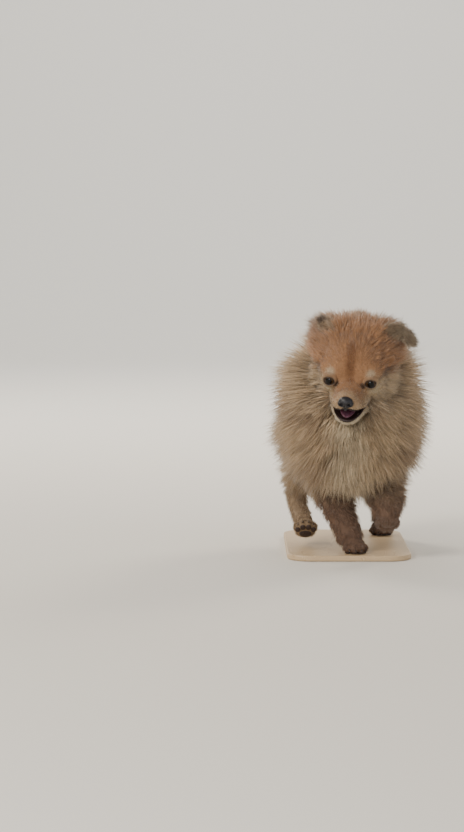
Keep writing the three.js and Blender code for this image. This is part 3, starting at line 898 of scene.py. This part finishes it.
def ruffCoat():
    look = coatLook["ruff"]
    root, normal = scatter(look["tufts"], facesOf("neck"))
    x, y, z = root.T
    radial = unit(np.stack([x - 1, 0 * x, z - 142], 1))
    flow = radial * 0.65 + (0, 0.36, -0.62)
    length = look["length"] * (1 - 0.28 * smoothStep(-50, -62, y))  # shorter on the chest
    tufts = clearOfHead(tuftsFor(look, root, normal, flow, length))
    addCoat("coatRuff", tufts, look["strands"], longRings, "coat_cream")


def trunkCoat():
    look = coatLook["trunk"]
    root, normal = scatter(look["tufts"], facesOf("trunk"))
    x, y, z = root.T
    down = 0.7 * smoothStep(0, 22, abs(x)) + 1.1 * smoothStep(48, 72, y) * smoothStep(112, 96, z)
    flow = np.stack([0.15 * np.sign(x), 0.9 - 0.5 * smoothStep(48, 72, y), -down], 1)
    length = look["length"] * (1 - 0.3 * smoothStep(80, 66, z))
    tufts = clearOfHead(tuftsFor(look, root, normal, flow, length))
    addCoat("coatTrunk", tufts, look["strands"], longRings, "coat_ginger")


def tailCoat():
    look = coatLook["tail"]
    root, normal = scatter(look["tufts"], facesOf("tail"))
    line = alongStations(tail, 12)[:, :3]
    nearest = np.argmin(((root[:, None] - line[None]) ** 2).sum(2), axis=1)
    flow = unit(np.gradient(line, axis=0))[nearest]
    length = look["length"] * (0.75 + 0.3 * nearest / 11)
    addCoat("coatTail", tuftsFor(look, root, normal, flow, length), look["strands"], longRings, "coat_cream")


def headLengths(p):
    x, y, z = p.T
    length = 2.3 + 1.6 * smoothStep(-50, -34, y) + 5.5 * smoothStep(-32, -8, y) + 10 * smoothStep(-10, 12, y)
    length += 7 * smoothStep(13, 24, abs(x)) * smoothStep(-26, -4, y) * smoothStep(8, -6, z)
    length += 5 * smoothStep(9, 20, abs(x)) * smoothStep(-16, 0, y) * smoothStep(2, 14, z)
    for side in (-1, 1):
        away = np.linalg.norm(p - eyeAt(side), axis=1)
        length *= 0.42 + 0.58 * smoothStep(8, 17, away)
    return length


def headFlow(p):
    x, y, z = p.T
    side = np.sign(x) * smoothStep(2, 14, abs(x))
    muzzle = smoothStep(-24, -36, y)
    forehead = smoothStep(-8, 6, z) * (1 - muzzle)
    flow = np.stack([0.75 * side, 0.75 + 0 * x, -0.35 + 0 * x], 1)
    up = np.stack([(0.3 + 0.8 * smoothStep(8, 20, abs(x))) * side, 0.7 + 0 * x, 0.75 + 0 * x], 1)
    flow = flow * (1 - forehead)[:, None] + up * forehead[:, None]
    bridge = np.stack([0.25 * side, 1 + 0 * x, -0.15 + 0 * x], 1)
    return flow * (1 - muzzle)[:, None] + bridge * muzzle[:, None]


# Bare places on the head: the eyes, the nose leather, the lips and the inside of the mouth
def isBare(p):
    x, y, z = p.T
    bare = (y < -12) & (abs(x) < 12.4) & (z < lipHeight(x, upperLip) - 0.2) & (z > lipHeight(x) + 0.4)
    bare |= (y < -49) & (z > -20.5)
    for side in (-1, 1):
        dx = (x - side * (eyes["at"][0] + 0.9)) / (eyes["halfWide"] + 1.8)
        dz = (z - eyes["at"][2]) / (eyes["halfHigh"] + 1.8)
        bare |= (dx * dx + dz * dz < 1) & (y < -12)
    return bare


def headCoat():
    for kind in ("face", "crown"):
        look = coatLook[kind]
        root, normal = scatter(look["tufts"] * 3, facesOf("head"))
        p = toHead(root)
        frontal = p[:, 1] < -9 + 3 * random.normal(size=len(p))
        keep = ~isBare(p) & ~isLining(root, normal) & (frontal if kind == "face" else ~frontal)
        root, normal, p = (values[keep][:look["tufts"]] for values in (root, normal, p))
        length = headLengths(p)
        lift = look["lift"] * (0.75 + 0.35 * smoothStep(4, 14, length))
        tufts = tuftsFor(look, root, normal, headFlow(p) @ headTurn.T, length, lift)
        tufts["width"] = look["width"] * (0.75 + 0.4 * smoothStep(3, 16, length))
        rings = shortRings if kind == "face" else longRings
        addCoat("coat" + kind.capitalize(), tufts, look["strands"], rings, "coat_ginger")


# Hair runs down each leg, short in front and longer in a fringe behind
def legCoat():
    look = coatLook["legs"]
    root, normal = scatter(look["tufts"], facesOf("foreleg", "thigh", "shank"))
    flow = np.zeros_like(root)
    best = np.full(len(root), 1e9)
    for stations in legs.values():
        line = alongStations(stations, 12)[:, :3]
        way = unit(np.gradient(line, axis=0))
        away = ((root[:, None] - line[None]) ** 2).sum(2)
        nearest = np.argmin(away, axis=1)
        closer = away.min(1) < best
        flow[closer] = way[nearest][closer]
        best = np.minimum(best, away.min(1))
    z = root[:, 2]
    fringe = smoothStep(0.1, 0.8, normal[:, 1])
    length = 6 + 12 * smoothStep(34, 78, z) + 6 * fringe * smoothStep(18, 50, z)
    length += 2.5 * (root[:, 1] < -20) * smoothStep(20, 44, z)
    lift = look["lift"] + 0.2 * smoothStep(30, 70, z)
    tufts = tuftsFor(look, root, normal, flow + (0, 0.12, -0.25), length, lift)
    addCoat("coatLegs", tufts, look["strands"], shortRings, "coat_brown")


def pawCoat():
    look = coatLook["paws"]
    root, normal = scatter(look["tufts"] * 2, facesOf("paw"))
    flow = np.zeros_like(root)
    keep = np.ones(len(root), bool)
    middles = [fromPaw([(0, -5, 5)], paw)[0] for paw in paws.values()]
    away = np.stack([np.linalg.norm(root - middle, axis=1) for middle in middles], 1)
    for i, paw in enumerate(paws.values()):
        own = np.argmin(away, axis=1) == i
        frameTurn = turned(paw["turn"], paw["nod"])
        flow[own] = frameTurn @ np.array([0, -1, -0.35])
        keep[own & ((normal @ frameTurn)[:, 2] < -0.35)] = False
    root, normal, flow = (values[keep][:look["tufts"]] for values in (root, normal, flow))
    tufts = tuftsFor(look, root, normal, flow, np.full(len(root), look["length"]))
    addCoat("coatPaws", tufts, look["strands"], shortRings, "coat_brown")


def earCoat():
    look = coatLook["ears"]
    root, normal = scatter(look["tufts"], facesOf("ears"))
    p = toHead(root)
    flow = np.stack([np.sign(p[:, 0]) * 0.8, 0.2 + 0 * p[:, 0], 0.5 - 0.9 * (p[:, 0] > 36)], 1) @ headTurn.T
    tufts = tuftsFor(look, root, normal, flow, np.full(len(root), look["length"]))
    addCoat("coatEars", tufts, look["strands"], shortRings, "coat_ginger")


for grow in (ruffCoat, trunkCoat, tailCoat, headCoat, legCoat, pawCoat, earCoat):
    grow()
print("coat grown:", sum(coatTriangles), "triangles")


# Eyes: a ball with a raised cornea, looking ahead, and an almond rim of lid laid on it


def eyeBall(side):
    points, faces = ball(5)
    look = unit(np.array([side * 0.16, -1, -0.02]))
    angle = np.arccos(np.clip(points @ look, -1, 1))
    points = points * (eyes["radius"] - 0.2 + 0.9 * np.exp(-(angle / 0.5) ** 2))[:, None]
    mesh = meshFrom("eyeball", fromHead(points + eyeAt(side)), faces)
    layer = mesh.attributes.new("fromPupil", "FLOAT", "POINT")
    layer.data.foreach_set("value", np.clip(angle / 0.95, 0, 1).astype(np.float32))
    return mesh


# The line of the lids on the ball: x to the outer corner, highest nearer the inner one
def lidLine(side, wide, high, over, count=48):
    turn = np.linspace(0, 2 * np.pi, count, endpoint=False)
    x = (eyes["halfWide"] + wide) * np.cos(turn)
    z = (eyes["halfHigh"] + high) * np.sin(turn) * (1 - 0.25 * np.cos(turn) * np.sign(np.sin(turn)))
    z = z + 0.7 * np.cos(turn)
    slant = math.radians(eyes["slant"]) * side
    across = side * (x + eyes["outward"])
    reach = eyes["radius"] + over
    rise = reach ** 2 - across ** 2 - z ** 2
    y = 1.5 * np.sqrt(np.maximum(-rise, 0)) - np.sqrt(np.maximum(rise, 0))  # past the ball it runs back
    cos, sin = math.cos(slant), math.sin(slant)
    turnOut = np.array([[cos, -sin, 0], [sin, cos, 0], [0, 0, 1]])
    return np.stack([across, y, z], 1) @ turnOut.T + eyeAt(side)


# Folds of the lids from the rim outward: wider and higher than the opening, and over the ball, in mm
lidFolds = ((0.2, 0.2, 0.6), (1, 1, 1.1), (2, 2.2, 1), (2.8, 3, 0.5), (3.6, 3.9, 0), (5, 5.2, -1.5))


def lids(side):
    rim = lidLine(side, 0, 0, 0.1)
    wrap = np.vstack([rim, rim[:2]])
    rimTube = tube(wrap, np.full(len(wrap), 0.55), 10)
    rings = [lidLine(side, *fold) for fold in lidFolds]
    return rimTube, (np.concatenate(rings), np.array(ringFaces(len(rings), len(rim))))


eyeSurface = eyeMaterial()
rimParts, lidParts = [], []
for side, label in ((1, "left"), (-1, "right")):
    addPiece("eye" + label.capitalize(), eyeBall(side), eyeSurface, "eye", "eye_" + label)
    rim, lid = lids(side)
    rimParts.append((fromHead(rim[0]), rim[1]))
    lidParts.append((fromHead(lid[0]), lid[1]))
lidPoints, lidFaces = merged(lidParts)
lidMesh = meshFrom("lids", lidPoints, lidFaces)
addColours(lidMesh, headMarkings(toHead(lidPoints)) * skinShade["underCoat"])
addPiece("lids", lidMesh, skinSurface, "coat_ginger")


# Short hair on the lids, lying away from the eye
def lidCoat():
    look = coatLook["lids"]
    outward = vectorsOf(lidMesh.vertex_normals, "vector")
    outward = outward * np.where((outward @ headTurn)[:, 1:2] > 0.3, -1, 1)
    root, normal = scatter(look["tufts"], lidFaces, lidPoints, outward)
    p = toHead(root)
    fromEye = p - np.stack([np.sign(p[:, 0]) * (eyes["at"][0] + 0.9), 0 * p[:, 0] - 24, 0 * p[:, 0] - 7], 1)
    away = np.linalg.norm(fromEye[:, [0, 2]] / (eyes["halfWide"], eyes["halfHigh"]), axis=1)
    length = 1.1 + 1.6 * smoothStep(1.1, 2.2, away)
    tufts = tuftsFor(look, root, normal, fromEye @ headTurn.T, length)
    addCoat("coatLids", tufts, look["strands"], shortRings, "coat_ginger")


lidCoat()


# Lips, tongue and nose leather


def lipLine(half, count):
    return alongStations(half + [(-x, *rest) for x, *rest in half[-2::-1]], count)


# The mouth's lining: a pouch between the two lips, hollowed to the back, dark as its own skin with painted
# shade of the mouth's inside
def mouthPouch(across=41, deep=13):
    upper, lower = (lipLine(half, across)[:, :3] for half in (upperLip, lowerLip))
    v = np.linspace(0, 1, deep)[None, :, None]
    hollow = np.sin(np.pi * v) * np.sin(np.linspace(0, np.pi, across))[:, None, None] ** 0.5
    points = upper[:, None] * (1 - v) + lower[:, None] * v
    points = points * (1 - 0.25 * hollow * (1, 0, 0)) + hollow * (0, 15, 0)
    faces = []
    for i in range(across - 1):
        for k in range(deep - 1):
            a = i * deep + k
            faces += [(a, a + 1, a + deep), (a + 1, a + deep + 1, a + deep)]
    return fromHead(points.reshape(-1, 3)), np.array(faces)


for half in (upperLip, lowerLip):
    line = lipLine(half, 40)
    points, faces = tube(line[:, :3], line[:, 3], 12)
    rimParts.append((fromHead(points), faces))
rimParts.append(mouthPouch())
addPiece("lipsAndRims", meshFrom("lipsAndRims", *merged(rimParts)), rimSurface, "nose")


tongue = {"at": (0, -28.5, -29.6), "radii": (7, 15, 2.3)}


def tongueForm():
    points, faces = ellipsoid((0, 0, 0), tongue["radii"], 5)
    x, y, z = points.T.copy()
    groove = 0.9 * np.exp(-(x / 1.4) ** 2) * (z > 0)
    points[:, 2] = z + 0.09 * x * x / 7 - groove - 0.008 * np.minimum(y, 0) ** 2
    return fromHead(points + tongue["at"]), faces


addPiece("wetTongue", meshFrom("wetTongue", *tongueForm()), tongueMaterial(), "tongue", "tongue")


def noseForm():
    parts = [ellipsoid((0, -51.4, -14.2), (6.2, 4.6, 5), 4), ellipsoid((0, -50.5, -19), (1.8, 3.4, 3.6), 3)]
    for side in (-1, 1):
        parts.append(ellipsoid((side * 3.6, -51.8, -15), (3.2, 3.8, 3), 4))
    points, faces = merged(parts)
    return fromHead(points), faces


noseMesh = reskinned("noseLeather", *noseForm(), voxel=0.4, passes=5)
p = toHead(vectorsOf(noseMesh.vertices, "co") / mm - puppyOffset)
for side in (-1, 1):
    dx, dz = (p[:, 0] - side * 3.3) / 1.5, (p[:, 2] + 15.2 + 0.25 * (abs(p[:, 0]) - 3.3)) / 1.15
    hole = np.exp(-(dx * dx + dz * dz) ** 1.6) * (p[:, 1] < -52)
    slit = np.exp(-((p[:, 0] - side * 5.4) / 1.5) ** 2 - ((p[:, 2] + 16.3) / 0.5) ** 2) * (p[:, 1] < -49)
    p[:, 1] += 2.6 * hole + 1.1 * slit
p[:, 1] += 0.8 * np.exp(-(p[:, 0] / 0.5) ** 2) * smoothStep(-13.5, -16, p[:, 2]) * (p[:, 1] < -50)
noseMesh.vertices.foreach_set("co", ((fromHead(p) + puppyOffset) * mm).astype(np.float32).ravel())
noseMesh.update()
addPiece("noseLeather", noseMesh, noseMaterial(), "nose", "nose")
print("face finished")


# Pads under each paw, claws at the toes, and whiskers


def padsAndClaws():
    padParts, clawParts = [], []
    for paw in paws.values():
        pads = [ellipsoid((0, -2.5, 1.3), (5.6, 4.6, 1.9), 4)]
        pads += [ellipsoid((x, y - 0.3, 1.1), (size * 0.52, size * 0.72, 1.6), 3) for x, y, size in toes]
        points, faces = merged(pads)
        points[:, 2] = np.maximum(points[:, 2], 0.05)
        padParts.append((fromPaw(points, paw), faces))
        for x, y, size in toes:
            curve = alongStations([(x, y - size * 0.9, 3.7, 1.0), (x, y - size * 1.3, 3.3, 0.8),
                                   (x, y - size * 1.62, 2.1, 0.15)], 8)
            points, faces = tube(curve[:, :3], curve[:, 3], 8)
            clawParts.append((fromPaw(points, paw), faces))
    addPiece("padLeather", meshFrom("padLeather", *merged(padParts)), padMaterial(), "nose")
    addPiece("clawHorn", meshFrom("clawHorn", *merged(clawParts)), clawMaterial(), "nose")


padsAndClaws()

whiskers = {"perSide": 7, "length": 24, "radius": 0.14}


def whiskerHairs():
    parts = []
    for side in (-1, 1):
        for k in range(whiskers["perSide"]):
            row, place = k % 3, k // 3
            root = np.array([side * (8.2 - 0.6 * place), -37 - 2.6 * place, -17 - 1.8 * row])
            reach = whiskers["length"] * random.uniform(0.75, 1.1)
            out = unit(np.array([side * 1.0, -0.35 + 0.1 * row, -0.1 - 0.22 * row]))
            bend = np.array([0, 0.35, -0.22]) * reach
            t = np.linspace(0, 1, 9)[:, None]
            line = root + out * reach * t + bend * t * t
            parts.append(tube(line, whiskers["radius"] * (1 - 0.85 * t[:, 0]), 5))
    points, faces = merged(parts)
    mesh = meshFrom("whiskers", fromHead(points), faces)
    addColours(mesh, np.tile(linearColour("#4b3c32"), (len(points), 1)))
    addPiece("whiskers", mesh, hair, "coat_brown")


whiskerHairs()


plate = {"corner": 0.020, "soft": 0.0012}  # radii in metres


# The plate: a rounded slab with softened edges, as large as its solid
def standPlate():
    low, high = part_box("stand_plate")
    corner, soft = plate["corner"], plate["soft"]
    outline = []
    for cx, cy, start in ((1, 1, 0), (-1, 1, 90), (-1, -1, 180), (1, -1, 270)):
        for step in range(13):
            angle = math.radians(start + 90 * step / 12)
            x = cx * (high.x - corner) + corner * math.cos(angle)
            outline.append((x, cy * (high.y - corner) + corner * math.sin(angle)))
    made = bmesh.new()
    rings = []
    for z, inset in ((low.z, soft), (low.z + soft * 0.3, soft * 0.3), (low.z + soft, 0), (high.z - soft, 0),
                     (high.z - soft * 0.3, soft * 0.3), (high.z, soft)):
        scale = (1 - inset / high.x, 1 - inset / high.y)
        rings.append([made.verts.new((x * scale[0], y * scale[1], z)) for x, y in outline])
    for lower, upper in zip(rings, rings[1:]):
        for k in range(len(outline)):
            made.faces.new((lower[k - 1], lower[k], upper[k], upper[k - 1]))
    made.faces.new(rings[0][::-1])
    made.faces.new(rings[-1])
    mesh = bpy.data.meshes.new("standPlate")
    made.to_mesh(mesh)
    made.free()
    addPiece("standPlate", mesh, ashMaterial(), "plate", "stand_plate")


standPlate()
print("stand made")


# The studio: a pale sweep, soft lamps, and the camera far off at the photograph's height and angle

studio = {
    "floorColour": "#dcd8d0",
    "keyPower": 30,
    "fillPower": 4,
    "rimPower": 20,
    "wallPower": 90,
    "glintPower": 9,
    "skyColour": "#ebeae6",
    "skyStrength": 0.5,
}


def sweep():
    made = bmesh.new()
    curve = [(2.6 + 1.2 * math.sin(a), 1.2 - 1.2 * math.cos(a)) for a in np.linspace(0, 1.5, 14)]
    profile = [(-3.5, 0), *curve, (3.9, 3.6)]
    rows = [[made.verts.new((x, y, z)) for y, z in profile] for x in (-4, 4)]
    for k in range(len(profile) - 1):
        made.faces.new((rows[0][k], rows[1][k], rows[1][k + 1], rows[0][k + 1]))
    mesh = bpy.data.meshes.new("studioSweep")
    made.to_mesh(mesh)
    made.free()
    for face in mesh.polygons:
        face.use_smooth = True
    # Matt painted board: one soft even tone with the faintest roller texture
    material, tree, shader, place = newMaterial("paintedBoard", Roughness=0.85, IOR=1.5)
    roller = addNode(tree, "TexNoise", {"Vector": place, "Scale": 1 / (3 * mm)})
    shader.inputs["Base Color"].default_value = rgba(studio["floorColour"])
    addBump(tree, shader, roller.outputs["Fac"], 0.05)
    mesh.materials.append(material)
    floor = bpy.data.objects.new("studioSweep", mesh)
    bpy.context.collection.objects.link(floor)


def lamp(name, at, aim, size, power, colour):
    data = bpy.data.lights.new(name, "AREA")
    data.shape = "DISK"
    data.size = size
    data.energy = power
    data.color = linearColour(colour)
    made = bpy.data.objects.new(name, data)
    made.location = at
    made.rotation_euler = (Vector(aim) - Vector(at)).to_track_quat("-Z", "Y").to_euler()
    bpy.context.collection.objects.link(made)


sweep()
lamp("keyLamp", (-1.3, -1.2, 1.3), (0, 0, 0.1), 0.9, studio["keyPower"], "#fff6ea")
lamp("fillLamp", (1.4, -1.2, 0.7), (0, 0, 0.1), 1.2, studio["fillPower"], "#f2f4ff")
lamp("leftRimLamp", (-1.0, 1.3, 1.3), (0, 0, 0.12), 0.7, studio["rimPower"], "#fff4e4")
lamp("rightRimLamp", (1.1, 1.3, 1.1), (0, 0, 0.12), 0.7, studio["rimPower"], "#fff4e4")
lamp("glintLamp", (-0.44, -1.9, 0.42), (0, -0.08, 0.17), 0.44, studio["glintPower"], "#ffffff")
lamp("wallLamp", (0, 1.5, 2.6), (0, 3.6, 1.0), 2.0, studio["wallPower"], "#ffffff")
world = bpy.data.worlds.new("studioAir")
world.use_nodes = True
world.node_tree.nodes["Background"].inputs["Color"].default_value = rgba(studio["skyColour"])
world.node_tree.nodes["Background"].inputs["Strength"].default_value = studio["skyStrength"]
bpy.context.scene.world = world

cameraPlace = {"at": (-0.100, -2.14, 0.298), "pitch": -4.85, "lens": 106}
cameraData = bpy.data.cameras.new("camera")
cameraData.sensor_fit = "VERTICAL"
cameraData.sensor_height = 36
cameraData.lens = cameraPlace["lens"]
camera = bpy.data.objects.new("camera", cameraData)
camera.location = cameraPlace["at"]
camera.rotation_euler = (math.radians(90 + cameraPlace["pitch"]), 0, 0)
bpy.context.collection.objects.link(camera)
bpy.context.scene.camera = camera
print("studio set")
